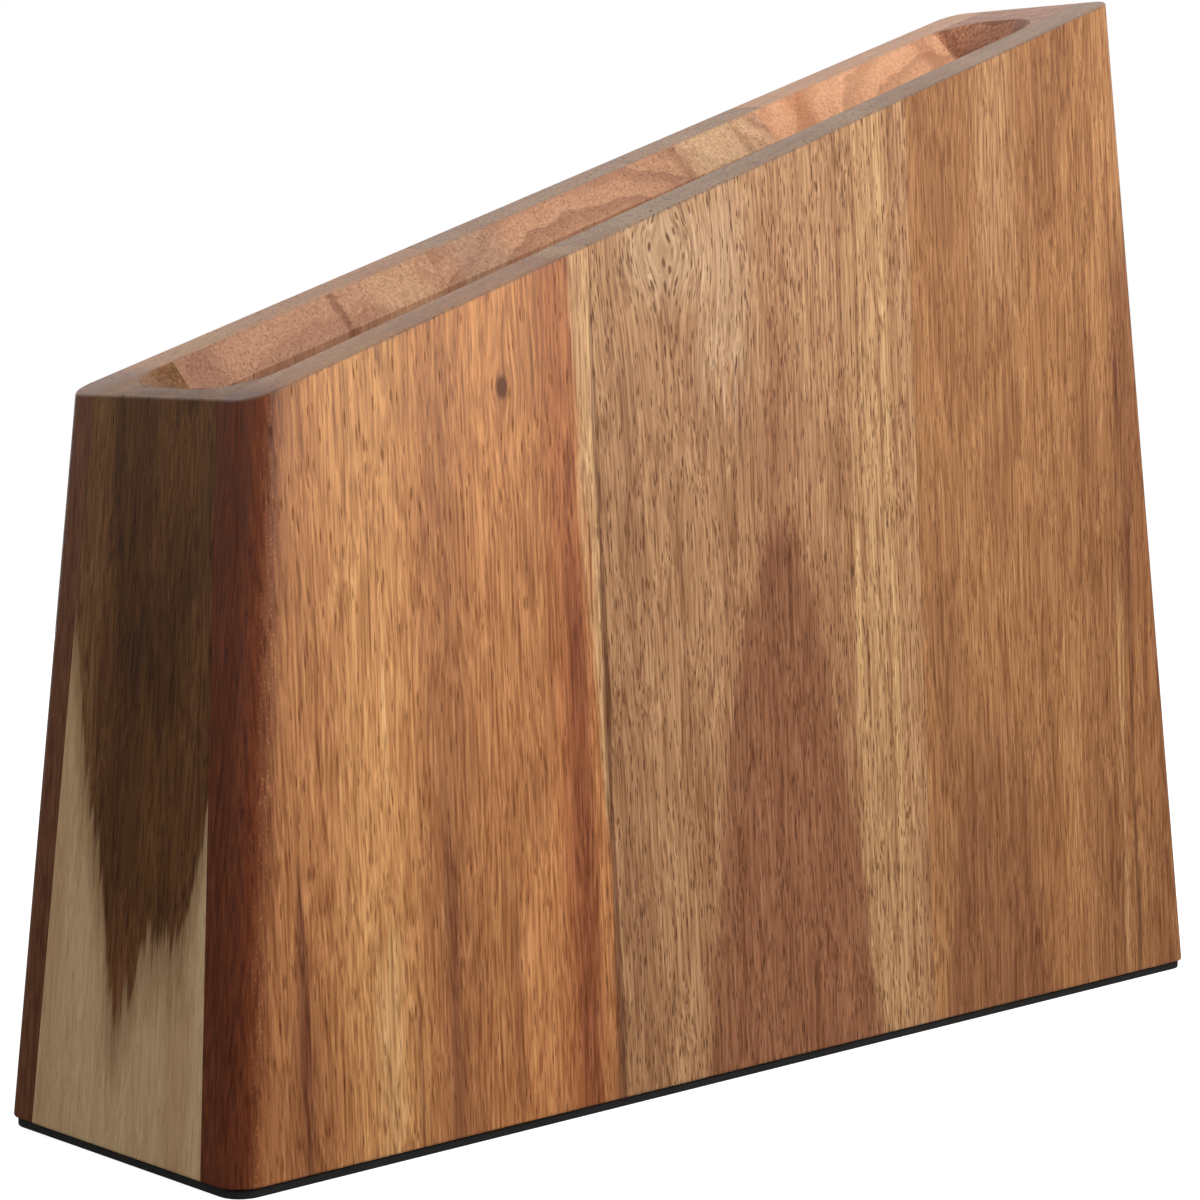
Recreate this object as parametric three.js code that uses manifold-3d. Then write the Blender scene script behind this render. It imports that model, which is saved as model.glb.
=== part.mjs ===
// A slant-top knife block: two leaning walls, each a panel of three boards with a bevelled liner inside it,
// glued to an end block at either end. A floor board closes the slot, bar magnets sit in the panels, and a
// mat lies below.
// Millimetres. +X runs from the low end to the high end, +Y from front to back, +Z up.
// The origin is under the middle of the mat.
import * as THREE from 'three';
import { mergeVertices } from 'three/addons/utils/BufferGeometryUtils.js';
import Module from 'manifold-3d';

// Overall sizes
const blockLength = 340; // along X, at the foot
const blockDepth = 90; // along Y, at the foot
const lowHeight = 164; // from the floor to the slanted top, over the low end's foot
const topSlope = THREE.MathUtils.degToRad(19); // the top rises towards the high end
const faceLean = THREE.MathUtils.degToRad(3.25); // front and back lean inwards
const endLean = THREE.MathUtils.degToRad(4.75); // both ends lean inwards
const cornerRadius = 7; // the four upright corners

// Layers, from the outside in
const panelThickness = 12.5; // along Y
const linerThickness = 9.5; // along Y; the funnel's bevel takes all of it
const middleBoardWidth = 114; // the panel's middle board; the outer two take the rest
const middleLinerWidth = 114; // the liner's middle board
const linerShift = -3.5; // the liner's joints miss the panel's by this much
const glueGap = 0.25; // left between glued faces

// Slot
const lowEndBlock = 35; // foot of the low end block, along X
const highEndBlock = 45; // foot of the high end block, along X
const funnelDepth = 8.5; // straight down from the slanted top to the throat
const mouthLowReach = 15.5; // how far the mouth runs into the low end block
const mouthHighReach = 9; // and into the high end block
const mouthRadius = 14; // the mouth's rounded corners
const throatRadius = 1.5; // the corners of the slot below it
const floorThickness = 12;

// Mat
const matThickness = 2;
const matInset = 1; // in from the foot, all round
const matRadius = 6;

// Magnets, two in each panel board
const magnetLength = 70;
const magnetHeight = 20;
const magnetThickness = 9;
const magnetClearance = 0.3; // round each magnet in its pocket
const pocketRunOut = 2; // how far the pocket's cutter runs on past the panel's inside face
const magnetRows = [
  { name: 'upper', belowTop: 45 }, // middle of the magnet, straight down from the slanted top
  { name: 'lower', aboveFoot: 62 }, // middle of the magnet, up from the foot
];

const arcSteps = 8; // straight steps in a quarter circle
const settleSteps = 40; // rounds in which a leaning edge settles on a sloping roof
const mergeDistance = 1e-4; // corners nearer than this are one
const overcut = 0.25; // how far the funnel cutter runs on above the top, as a share of its depth
const footZ = matThickness + glueGap;
const halfLength = blockLength / 2;
const halfDepth = blockDepth / 2;
const lowWallX = -halfLength + lowEndBlock; // end walls of the slot
const highWallX = halfLength - highEndBlock;
const faceRate = Math.tan(faceLean);
const endRate = Math.tan(endLean);
const slopeRate = Math.tan(topSlope);

const ends = { low: -1, high: 1 };
const sides = { front: -1, back: 1 };

const woodTones = { low: '#b9814f', middle: '#a98256', high: '#b47d52' };
const linerTones = { low: '#c79467', middle: '#c8a27c', high: '#c98d63' };
const endTones = { low: '#8a6843', high: '#7a4a35' };
const floorTone = '#b58a5c';
const ferriteTone = '#4a4a4e';
const rubberTone = '#1b1a1a';
const woodRoughness = 0.55;
const ferriteRoughness = 0.6;
const ferriteMetalness = 0.3;
const rubberRoughness = 0.9;

function wood(color) {
  return new THREE.MeshStandardMaterial({ color, roughness: woodRoughness, metalness: 0 });
}

const ferrite = new THREE.MeshStandardMaterial({
  color: ferriteTone,
  roughness: ferriteRoughness,
  metalness: ferriteMetalness,
});

// Height of the slanted top over a place along X, lowered for the funnel's bevel where drop is given
function topHeight(x, drop = 0) {
  return lowHeight + (x + halfLength) * slopeRate - drop;
}

// Distance from the middle plane to a layer of a wall at a height, layer being the depth in from the face
function wallY(layer, z) {
  return halfDepth - layer - (z - footZ) * faceRate;
}

// A point of an outline drawn at the foot, carried up along the lean of the faces that it belongs to
function climb(x, y, z) {
  const rise = z - footZ;
  const onEnd = Math.abs(x) > halfLength - cornerRadius - glueGap;
  const endShift = onEnd ? -Math.sign(x) * endRate * rise : 0;
  return new THREE.Vector3(x + endShift, y - Math.sign(y) * faceRate * rise, z);
}

// Where that point meets a roof, a function that gives a height for an X and a Y
function climbToRoof(x, y, roof) {
  let z = roof(x, y);
  for (let step = 0; step < settleSteps; step += 1) {
    const point = climb(x, y, z);
    z = roof(point.x, point.y);
  }
  return climb(x, y, z);
}

const slantedTop = (x) => topHeight(x);

// The funnel's bevel: it leaves the top at the panel's inside face and falls across the liner to the throat
function bevelTop(x, y) {
  const top = topHeight(x);
  const across = (wallY(panelThickness, top) - Math.abs(y)) / linerThickness;
  return top - Math.max(across, 0) * funnelDepth;
}

// An outline at the foot, raised to a roof along its leaning faces
function leaningSolid(outline, roof) {
  const shape = new THREE.ExtrudeGeometry(outline, {
    depth: 1,
    bevelEnabled: false,
    curveSegments: arcSteps,
  });
  const corners = shape.attributes.position;
  for (let i = 0; i < corners.count; i += 1) {
    const [x, y] = [corners.getX(i), corners.getY(i)];
    const atFoot = corners.getZ(i) === 0;
    const point = atFoot ? climb(x, y, footZ) : climbToRoof(x, y, roof);
    corners.setXYZ(i, point.x, point.y, point.z);
  }
  return tidy(shape);
}

// Shared corners merged, ready to be cut
function tidy(geometry) {
  const bare = geometry.index ? geometry.toNonIndexed() : geometry.clone();
  bare.deleteAttribute('normal');
  bare.deleteAttribute('uv');
  return mergeVertices(bare, mergeDistance);
}

const wasm = await Module();
wasm.setup();

function toManifold(geometry) {
  const merged = tidy(geometry);
  const mesh = new wasm.Mesh({
    numProp: 3,
    vertProperties: new Float32Array(merged.attributes.position.array),
    triVerts: new Uint32Array(merged.index.array),
  });
  return new wasm.Manifold(mesh);
}

function cutAway(geometry, cutters) {
  let solid = toManifold(geometry);
  for (const cutter of cutters) {
    solid = solid.subtract(toManifold(cutter));
  }
  const mesh = solid.getMesh();
  const result = new THREE.BufferGeometry();
  result.setAttribute('position', new THREE.BufferAttribute(new Float32Array(mesh.vertProperties), 3));
  result.setIndex(new THREE.BufferAttribute(new Uint32Array(mesh.triVerts), 1));
  return result;
}

// A rectangle from one pair of corners, as an outline
function rectangle(x0, y0, x1, y1) {
  const outline = new THREE.Shape();
  outline.moveTo(Math.min(x0, x1), Math.min(y0, y1));
  outline.lineTo(Math.max(x0, x1), Math.min(y0, y1));
  outline.lineTo(Math.max(x0, x1), Math.max(y0, y1));
  outline.lineTo(Math.min(x0, x1), Math.max(y0, y1));
  outline.closePath();
  return outline;
}

// A rectangle with four rounded corners
function roundedRectangle(x0, y0, x1, y1, radius) {
  const outline = new THREE.Shape();
  outline.absarc(x1 - radius, y0 + radius, radius, -Math.PI / 2, 0, false);
  outline.absarc(x1 - radius, y1 - radius, radius, 0, Math.PI / 2, false);
  outline.absarc(x0 + radius, y1 - radius, radius, Math.PI / 2, Math.PI, false);
  outline.absarc(x0 + radius, y0 + radius, radius, Math.PI, 1.5 * Math.PI, false);
  outline.closePath();
  return outline;
}

// The foot of one panel board; an outer board has the block's rounded corner
function panelOutline(side, x0, x1) {
  const outer = side * halfDepth;
  const inner = side * (halfDepth - panelThickness);
  const end = Math.abs(x0) > Math.abs(x1) ? x0 : x1;
  const isOuterBoard = Math.abs(end) === halfLength;
  if (!isOuterBoard) {
    return rectangle(x0, inner, x1, outer);
  }
  const joint = end === x0 ? x1 : x0;
  const towards = Math.sign(end);
  const center = new THREE.Vector2(end - towards * cornerRadius, outer - side * cornerRadius);
  const startAngle = towards > 0 ? 0 : Math.PI;
  const stopAngle = side * (Math.PI / 2);
  const outline = new THREE.Shape();
  outline.moveTo(joint, inner);
  outline.lineTo(end, inner);
  outline.absarc(center.x, center.y, cornerRadius, startAngle, stopAngle, towards * side < 0);
  outline.lineTo(joint, outer);
  outline.closePath();
  return outline;
}

// Boards of a layer: names with the stretch of X that each one covers, less half a glue gap at each joint
function boardStretches(startX, stopX, middleWidth, shift) {
  const half = glueGap / 2;
  const lowJoint = shift - middleWidth / 2;
  const highJoint = shift + middleWidth / 2;
  return {
    low: [startX, lowJoint - half],
    middle: [lowJoint + half, highJoint - half],
    high: [highJoint + half, stopX],
  };
}

const panelBoards = boardStretches(-halfLength, halfLength, middleBoardWidth, 0);
const linerBoards = boardStretches(lowWallX + glueGap, highWallX - glueGap, middleLinerWidth, linerShift);

// Middle of a magnet in a panel board, and the turn that lays it along the leaning face
function magnetPlace(side, board, row) {
  const [x0, x1] = panelBoards[board];
  const guessX = (x0 + x1) / 2;
  const z = row.aboveFoot ? footZ + row.aboveFoot : topHeight(guessX) - row.belowTop;
  const stretch = [climb(x0, 0, z).x, climb(x1, 0, z).x];
  const inFromFace = panelThickness - magnetClearance - magnetThickness / 2;
  return {
    position: new THREE.Vector3((stretch[0] + stretch[1]) / 2, side * wallY(inFromFace, z), z),
    turn: side * faceLean,
  };
}

function magnetPocket(place, side) {
  const length = magnetLength + 2 * magnetClearance;
  const height = magnetHeight + 2 * magnetClearance;
  const depth = magnetThickness + 2 * magnetClearance + pocketRunOut;
  const pocket = new THREE.BoxGeometry(length, depth, height);
  pocket.translate(0, -side * (pocketRunOut / 2), 0);
  pocket.rotateX(place.turn);
  pocket.translate(place.position.x, place.position.y, place.position.z);
  return pocket;
}

// One row of points round the funnel, at a share of the way down: 0 at the mouth, 1 at the throat, and
// less than 0 above the top. Each corner has its own centre
function funnelRing(share) {
  const rings = { mouth: [], throat: [] };
  for (const [endName, cornerSides] of [['high', [-1, 1]], ['low', [1, -1]]]) {
    const end = ends[endName];
    const wallX = end > 0 ? highWallX : lowWallX;
    const reach = end > 0 ? mouthHighReach : mouthLowReach;
    for (const side of cornerSides) {
      for (let step = 0; step <= arcSteps; step += 1) {
        const part = (end * side > 0 ? step : arcSteps - step) / arcSteps;
        const along = Math.cos((part * Math.PI) / 2);
        const across = Math.sin((part * Math.PI) / 2);
        const mouthX = wallX + end * (reach - mouthRadius * (1 - along));
        const mouthZ = topHeight(mouthX);
        const mouthY = side * (wallY(panelThickness, mouthZ) - mouthRadius * (1 - across));
        rings.mouth.push(new THREE.Vector3(mouthX, mouthY, mouthZ));
        const throatX = wallX - end * throatRadius * (1 - along);
        const throatZ = topHeight(throatX, funnelDepth);
        const edgeZ = topHeight(throatX);
        const throatEdge = wallY(panelThickness, edgeZ) - linerThickness;
        const throatY = side * (throatEdge - throatRadius * (1 - across));
        rings.throat.push(new THREE.Vector3(throatX, throatY, throatZ));
      }
    }
  }
  return rings.mouth.map((point, i) => point.clone().lerp(rings.throat[i], share));
}

// The funnel as a cutter: rings above the top and below the throat, joined and capped
function funnelCutter() {
  const rows = [funnelRing(-overcut), funnelRing(1)];
  const count = rows[0].length;
  const points = [...rows[0], ...rows[1]];
  const faces = [];
  for (let i = 0; i < count; i += 1) {
    const next = (i + 1) % count;
    faces.push(i, count + i, count + next, i, count + next, next);
  }
  for (let i = 1; i < count - 1; i += 1) {
    faces.push(0, i, i + 1);
    faces.push(count, count + i + 1, count + i);
  }
  const cutter = new THREE.BufferGeometry().setFromPoints(points);
  cutter.setIndex(faces);
  return cutter;
}

function endBlockGeometry(end) {
  const innerX = end > 0 ? highWallX : lowWallX;
  const halfWidth = halfDepth - panelThickness - glueGap;
  const outline = rectangle(innerX, -halfWidth, end * halfLength, halfWidth);
  return cutAway(leaningSolid(outline, slantedTop), [funnelCutter()]);
}

const group = new THREE.Group();

function addPiece(name, geometry, material, place) {
  const piece = new THREE.Mesh(geometry, material);
  piece.name = name;
  if (place) {
    piece.position.copy(place.position);
    piece.rotation.x = place.turn;
  }
  group.add(piece);
}

function addPanels() {
  for (const [sideName, side] of Object.entries(sides)) {
    for (const [board, [x0, x1]] of Object.entries(panelBoards)) {
      const places = magnetRows.map((row) => magnetPlace(side, board, row));
      const solid = leaningSolid(panelOutline(side, x0, x1), slantedTop);
      const pockets = places.map((place) => magnetPocket(place, side));
      addPiece(`${sideName}_panel_${board}_board`, cutAway(solid, pockets), wood(woodTones[board]));
      magnetRows.forEach((row, i) => {
        const bar = new THREE.BoxGeometry(magnetLength, magnetThickness, magnetHeight);
        addPiece(`${sideName}_${board}_${row.name}_magnet`, bar, ferrite, places[i]);
      });
    }
  }
}

function addLiners() {
  for (const [sideName, side] of Object.entries(sides)) {
    for (const [board, [x0, x1]] of Object.entries(linerBoards)) {
      const outer = side * (halfDepth - panelThickness - glueGap);
      const inner = side * (halfDepth - panelThickness - linerThickness);
      const solid = leaningSolid(rectangle(x0, inner, x1, outer), bevelTop);
      addPiece(`${sideName}_liner_${board}_board`, solid, wood(linerTones[board]));
    }
  }
}

function addEndBlocks() {
  addPiece('low_end_block', endBlockGeometry(ends.low), wood(endTones.low));
  addPiece('high_end_block', endBlockGeometry(ends.high), wood(endTones.high));
}

function addFloorBoard() {
  const halfWidth = halfDepth - panelThickness - linerThickness - glueGap;
  const outline = rectangle(lowWallX + glueGap, -halfWidth, highWallX - glueGap, halfWidth);
  const flatTop = () => footZ + floorThickness;
  addPiece('floor_board', leaningSolid(outline, flatTop), wood(floorTone));
}

function addMat() {
  const [x, y] = [halfLength - matInset, halfDepth - matInset];
  const outline = roundedRectangle(-x, -y, x, y, matRadius);
  const sheet = new THREE.ExtrudeGeometry(outline, {
    depth: matThickness,
    bevelEnabled: false,
    curveSegments: arcSteps,
  });
  const rubber = new THREE.MeshStandardMaterial({
    color: rubberTone,
    roughness: rubberRoughness,
    metalness: 0,
  });
  addPiece('non_slip_mat', sheet, rubber);
}

addPanels();
addLiners();
addEndBlocks();
addFloorBoard();
addMat();

export default group;
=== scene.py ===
from math import cos, pi, radians, sin, tan

import bmesh
import bpy
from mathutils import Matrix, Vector


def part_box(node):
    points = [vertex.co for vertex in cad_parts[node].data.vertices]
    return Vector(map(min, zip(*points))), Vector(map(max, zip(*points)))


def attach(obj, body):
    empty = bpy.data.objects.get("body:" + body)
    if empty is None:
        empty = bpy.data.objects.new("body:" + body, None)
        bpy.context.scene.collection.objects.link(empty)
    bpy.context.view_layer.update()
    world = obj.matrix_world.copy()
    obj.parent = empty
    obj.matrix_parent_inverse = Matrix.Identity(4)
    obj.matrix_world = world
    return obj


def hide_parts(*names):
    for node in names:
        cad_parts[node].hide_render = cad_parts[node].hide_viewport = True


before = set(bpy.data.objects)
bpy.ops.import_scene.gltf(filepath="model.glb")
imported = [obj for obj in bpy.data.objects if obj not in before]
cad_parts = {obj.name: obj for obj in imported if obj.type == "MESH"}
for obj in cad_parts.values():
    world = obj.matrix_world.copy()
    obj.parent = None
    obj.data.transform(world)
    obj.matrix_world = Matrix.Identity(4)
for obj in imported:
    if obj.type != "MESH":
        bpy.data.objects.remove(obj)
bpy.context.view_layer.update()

bpy.ops.object.select_all(action='DESELECT')
print("frame loaded:", len(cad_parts), "nodes")

mm = 0.001


# camera

view = {
    "place": (-0.5455, -0.5525, 0.1886),
    "pitchDown": radians(5.507),
    "turn": radians(-43.489),
    "lens": 91.35,
    "sensor": 36,
}


def addCamera():
    data = bpy.data.cameras.new("studioCamera")
    data.lens = view["lens"]
    data.sensor_width = view["sensor"]
    camera = bpy.data.objects.new("studioCamera", data)
    camera.location = view["place"]
    camera.rotation_euler = (pi / 2 - view["pitchDown"], 0, view["turn"])
    bpy.context.scene.collection.objects.link(camera)
    bpy.context.scene.camera = camera


addCamera()
print("camera placed")


# small helpers for edit mode

def makeActive(piece):
    bpy.ops.object.select_all(action='DESELECT')
    piece.select_set(True)
    bpy.context.view_layer.objects.active = piece


def settle(piece):
    makeActive(piece)
    bpy.ops.object.transform_apply(location=True, rotation=True, scale=True)


def addCube(name, low, high):
    bpy.ops.object.select_all(action='DESELECT')
    low, high = Vector(low), Vector(high)
    bpy.ops.mesh.primitive_cube_add(size=1, location=(low + high) / 2, scale=high - low)
    piece = bpy.context.object
    piece.name = piece.data.name = name
    settle(piece)
    return piece


def copyOf(source, name):
    piece = source.copy()
    piece.data = source.data.copy()
    piece.name = piece.data.name = name
    bpy.context.scene.collection.objects.link(piece)
    return piece


slack = {
    "merge": 1e-6,
    "onTop": 0.02 * mm,
    "onFoot": 0.01 * mm,
    "mouthSide": 0.05 * mm,
    "mouthEnds": (16 * mm, 10 * mm),  # how far the mouth's rim may reach past its two end walls
    "steep": 5,  # an edge runs up when it rises this many times what it goes sideways
    "flat": 0.9999,
    "tilted": 0.95,
    "dissolve": radians(0.1),
    "smooth": radians(20),
}


# keeps what lies behind each plane, and closes the cut
def trim(piece, planes, close=True):
    makeActive(piece)
    bpy.ops.object.mode_set(mode='EDIT')
    for point, outward in planes:
        bpy.ops.mesh.select_all(action='SELECT')
        bpy.ops.mesh.bisect(
            plane_co=point, plane_no=outward, use_fill=close, clear_outer=True, threshold=slack["merge"],
        )
    bpy.ops.object.mode_set(mode='OBJECT')


# kind is 'EDGE' or 'FACE'; leaves the piece in edit mode with only what is wanted selected
def choose(piece, kind, wanted):
    makeActive(piece)
    bpy.ops.object.mode_set(mode='EDIT')
    bpy.ops.mesh.select_mode(type=kind)
    bpy.ops.mesh.select_all(action='DESELECT')
    shape = bmesh.from_edit_mesh(piece.data)
    for part in shape.faces if kind == 'FACE' else shape.edges:
        if wanted(part):
            part.select = True
    bmesh.update_edit_mesh(piece.data)


def chooseEdges(piece, wanted):
    choose(piece, 'EDGE', lambda edge: wanted(edge.verts[0].co, edge.verts[1].co))


def roundChosen(width, segments):
    bpy.ops.mesh.bevel(offset=width, offset_type='OFFSET', segments=segments, profile=0.5, affect='EDGES')
    bpy.ops.object.mode_set(mode='OBJECT')


def easeEdges(piece, wanted, width, segments):
    chooseEdges(piece, wanted)
    roundChosen(width, segments)


def cutWith(piece, cutter):
    makeActive(piece)
    cut = piece.modifiers.new("cut", 'BOOLEAN')
    cut.operation = 'DIFFERENCE'
    cut.solver = 'EXACT'
    cut.object = cutter
    bpy.ops.object.modifier_apply(modifier=cut.name)


def discard(*pieces):
    for piece in pieces:
        bpy.data.meshes.remove(piece.data)


# the block's planes; the foot and the ends come from the frame

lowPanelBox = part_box("front_panel_low_board")
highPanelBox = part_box("front_panel_high_board")

block = {
    "foot": lowPanelBox[0].z,
    "halfLength": highPanelBox[1].x,
    "halfDepth": -lowPanelBox[0].y,
    "lowHeight": 164 * mm,
    "topSlope": radians(19),
    "faceLean": radians(3.25),
    "endLean": radians(4.75),
    "corner": 7 * mm,
    "cornerSteps": 12,
    "spare": 10 * mm,  # how much taller the block starts than its slanted top
    "rimEase": 0.6 * mm,
    "footEase": 0.5 * mm,
    "mouthEase": 0.35 * mm,
    "panel": 12.5 * mm,
    "liner": 9.5 * mm,
    "seam": 0.04 * mm,  # half of what shows between two glued boards
    "panelJoint": 57 * mm,
    "lowLinerJoint": -60.5 * mm,
    "highLinerJoint": 53.5 * mm,
}

mouth = {
    "lowWall": -135 * mm,
    "highWall": 125 * mm,
    "lowReach": 15.5 * mm,
    "highReach": 9 * mm,
    "depth": 8.5 * mm,
    "radius": 14 * mm,
    "throatRadius": 1.5 * mm,
    "arcSteps": 12,
    "above": 30 * mm,
    "below": 5 * mm,
}


def topHeight(x):
    return block["lowHeight"] + (x + block["halfLength"]) * tan(block["topSlope"])


def topPlane(drop=0, upward=1):
    slope = block["topSlope"]
    return Vector((0, 0, topHeight(0) - drop)), upward * Vector((-sin(slope), 0, cos(slope)))


# the plane of a wall layer: side -1 is the front, and outward +1 keeps what lies inside it
def wallPlane(side, layer, outward=1):
    lean = block["faceLean"]
    point = Vector((0, side * (block["halfDepth"] - layer), block["foot"]))
    return point, outward * Vector((0, side * cos(lean), sin(lean)))


def endPlane(side):
    lean = block["endLean"]
    point = Vector((side * block["halfLength"], 0, block["foot"]))
    return point, Vector((side * cos(lean), 0, sin(lean)))


def acrossPlane(x, outward):
    return Vector((x, 0, 0)), Vector((outward, 0, 0))


def onTop(co, drop=0):
    return abs(co.z - topHeight(co.x) + drop) < slack["onTop"]


def runsUp(a, b):
    return abs(a.z - b.z) > slack["steep"] * max(abs(a.x - b.x), abs(a.y - b.y))


# one solid block, shaped and eased as a whole, is later cut along its glue lines
def solidBlock():
    halfX, halfY = block["halfLength"], block["halfDepth"]
    high = topHeight(halfX) + block["spare"]
    piece = addCube("solidBlock", (-halfX, -halfY, block["foot"]), (halfX, halfY, high))
    trim(piece, [topPlane(), wallPlane(-1, 0), wallPlane(1, 0), endPlane(-1), endPlane(1)])
    easeEdges(piece, runsUp, block["corner"], block["cornerSteps"])
    easeEdges(piece, lambda a, b: onTop(a) and onTop(b), block["rimEase"], 3)
    foot = block["foot"] + slack["onFoot"]
    easeEdges(piece, lambda a, b: a.z < foot and b.z < foot, block["footEase"], 2)
    return piece


# the funnel over the slot: two open shells, bridged between the mouth and the throat
def slotCutter():
    lowX, highX = mouth["lowWall"] - mouth["lowReach"], mouth["highWall"] + mouth["highReach"]
    halfY = block["halfDepth"]
    high = topHeight(highX) + mouth["above"]
    upper = addCube("slotCutter", (lowX, -halfY, 0), (highX, halfY, high))
    trim(upper, [wallPlane(-1, block["panel"]), wallPlane(1, block["panel"])])
    easeEdges(upper, runsUp, mouth["radius"], mouth["arcSteps"])
    trim(upper, [topPlane(0, -1)], close=False)
    lowFoot = (mouth["lowWall"], -halfY, -mouth["below"])
    lower = addCube("slotCavity", lowFoot, (mouth["highWall"], halfY, high))
    inner = block["panel"] + block["liner"]
    trim(lower, [wallPlane(-1, inner), wallPlane(1, inner)])
    easeEdges(lower, runsUp, mouth["throatRadius"], mouth["arcSteps"])
    trim(lower, [topPlane(mouth["depth"])], close=False)
    bpy.ops.object.select_all(action='DESELECT')
    lower.select_set(True)
    upper.select_set(True)
    bpy.context.view_layer.objects.active = upper
    bpy.ops.object.join()
    drop = mouth["depth"]
    chooseEdges(upper, lambda a, b: (onTop(a) and onTop(b)) or (onTop(a, drop) and onTop(b, drop)))
    bpy.ops.mesh.bridge_edge_loops()
    bpy.ops.mesh.select_all(action='SELECT')
    bpy.ops.mesh.normals_make_consistent(inside=False)
    bpy.ops.object.mode_set(mode='OBJECT')
    return upper


# eases the ring of edges where the slanted top meets the funnel
def softenMouth(piece):
    upward = topPlane()[1]
    choose(piece, 'FACE', lambda face: face.normal.dot(upward) > slack["flat"])
    bpy.ops.mesh.dissolve_limited(angle_limit=slack["dissolve"])
    bpy.ops.object.mode_set(mode='OBJECT')

    def onRing(edge):
        leans = sorted(face.normal.dot(upward) for face in edge.link_faces)
        inside = all(onTop(vert.co) and inMouth(vert.co) for vert in edge.verts)
        return inside and leans[0] < slack["tilted"] and leans[1] > slack["flat"]

    choose(piece, 'EDGE', onRing)
    roundChosen(block["mouthEase"], 2)


def inMouth(co):
    glueLine = block["halfDepth"] - block["panel"] - (co.z - block["foot"]) * tan(block["faceLean"])
    lowEnd, highEnd = slack["mouthEnds"]
    between = mouth["lowWall"] - lowEnd < co.x < mouth["highWall"] + highEnd
    return abs(co.y) < glueLine + slack["mouthSide"] and between


solid = solidBlock()
cutter = slotCutter()
cutWith(solid, cutter)
discard(cutter)
softenMouth(solid)
print("solid block cut:", len(solid.data.vertices), "vertices")

# each wooden piece is the solid block trimmed along its own glue lines
seam = block["seam"]
boardSpans = {
    "low": (None, -block["panelJoint"]),
    "middle": (-block["panelJoint"], block["panelJoint"]),
    "high": (block["panelJoint"], None),
}
linerSpans = {
    "low": (mouth["lowWall"], block["lowLinerJoint"]),
    "middle": (block["lowLinerJoint"], block["highLinerJoint"]),
    "high": (block["highLinerJoint"], mouth["highWall"]),
}
sides = {"front": -1, "back": 1}


def spanPlanes(lowX, highX):
    planes = []
    if lowX is not None:
        planes.append(acrossPlane(lowX + seam, -1))
    if highX is not None:
        planes.append(acrossPlane(highX - seam, 1))
    return planes


def finishShape(piece, node):
    makeActive(piece)
    bpy.ops.object.mode_set(mode='EDIT')
    bpy.ops.mesh.select_all(action='SELECT')
    bpy.ops.mesh.remove_doubles(threshold=slack["merge"])
    bpy.ops.mesh.dissolve_degenerate(threshold=slack["merge"])
    bpy.ops.mesh.select_all(action='SELECT')
    bpy.ops.mesh.normals_make_consistent(inside=False)
    bpy.ops.object.mode_set(mode='OBJECT')
    bpy.ops.object.shade_smooth_by_angle(angle=slack["smooth"])
    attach(piece, "root")
    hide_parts(node)


pocket = {"room": 0.3 * mm, "runOut": 0.5 * mm, "size": (70 * mm, 9 * mm, 20 * mm)}


# a magnet's pocket, square to the leaning wall
def pocketCutter(node, side):
    low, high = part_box(node)
    centre = (low + high) / 2
    room = pocket["room"]
    length, depth, height = (size / 2 + room for size in pocket["size"])
    inward = -side * pocket["runOut"]
    lowY, highY = sorted((-side * depth + inward, side * depth))
    cutter = addCube("magnetPocket", (-length, lowY, -height), (length, highY, height))
    cutter.rotation_euler.x = side * block["faceLean"]
    cutter.location = centre
    settle(cutter)
    return cutter


def panelBoard(sideName, spanName):
    side = sides[sideName]
    node = sideName + "_panel_" + spanName + "_board"
    piece = copyOf(solid, sideName + "Panel" + spanName.capitalize())
    trim(piece, [wallPlane(side, block["panel"] - seam, -1)] + spanPlanes(*boardSpans[spanName]))
    for row in ("upper", "lower"):
        cutter = pocketCutter("_".join((sideName, spanName, row, "magnet")), side)
        cutWith(piece, cutter)
        discard(cutter)
    finishShape(piece, node)
    return piece


def linerBoard(sideName, spanName):
    side = sides[sideName]
    node = sideName + "_liner_" + spanName + "_board"
    piece = copyOf(solid, sideName + "Liner" + spanName.capitalize())
    middle = Vector((0, 0, 0)), Vector((0, -side, 0))
    trim(piece, [middle, wallPlane(side, block["panel"] + seam)] + spanPlanes(*linerSpans[spanName]))
    finishShape(piece, node)
    return piece


def endBlock(name, node, side):
    wall = mouth["highWall"] if side > 0 else mouth["lowWall"]
    piece = copyOf(solid, name)
    layer = block["panel"] + seam
    trim(piece, [wallPlane(-1, layer), wallPlane(1, layer), acrossPlane(wall + side * seam, -side)])
    finishShape(piece, node)
    return piece


panels = {(side, span): panelBoard(side, span) for side in sides for span in boardSpans}
liners = {(side, span): linerBoard(side, span) for side in sides for span in linerSpans}
lowEnd = endBlock("lowEndBlock", "low_end_block", -1)
highEnd = endBlock("highEndBlock", "high_end_block", 1)
discard(solid)
print("wooden pieces:", len(panels) + len(liners) + 2)


# the mat: a thin sheet with rounded corners, soft edges and a shallow field underneath

mat = {
    "corner": 6 * mm,
    "cornerSteps": 10,
    "ease": 0.3 * mm,
    "border": 5 * mm,
    "field": 0.3 * mm,
    "upright": 1 * mm,
    "level": 0.1 * mm,
    "smooth": radians(30),
}


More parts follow.
